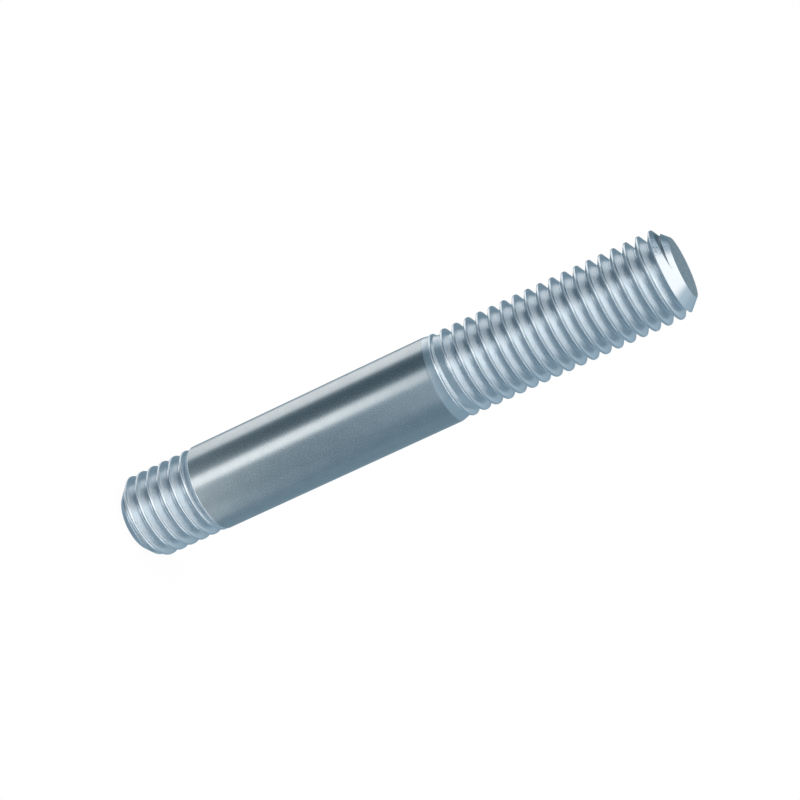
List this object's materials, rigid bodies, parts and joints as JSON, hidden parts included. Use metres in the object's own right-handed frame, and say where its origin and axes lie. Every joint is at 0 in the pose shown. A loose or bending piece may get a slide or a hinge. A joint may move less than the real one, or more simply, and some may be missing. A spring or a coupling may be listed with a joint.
{
  "type": "stud bolt",
  "caption": "Headless steel stud with a short thread on its stud end, a plain full-diameter shank and a long thread on its nut end, chamfered at both ends.",
  "frame": {"origin": "centre of the stud end's flat face, at the bottom of the piece", "axes": "+Z runs along the axis from the short thread to the long one; the piece is round, so X and Y are only set by where the grooves start, which is on the +X side"},
  "size_m": [0.012, 0.012, 0.082],
  "materials": {
    "zinc_plated_steel": "bright zinc plating with a faint blue tint, satin"
  },
  "bodies": {
    "root": {"stud_bolt": "zinc_plated_steel"}
  },
  "joints": []
}
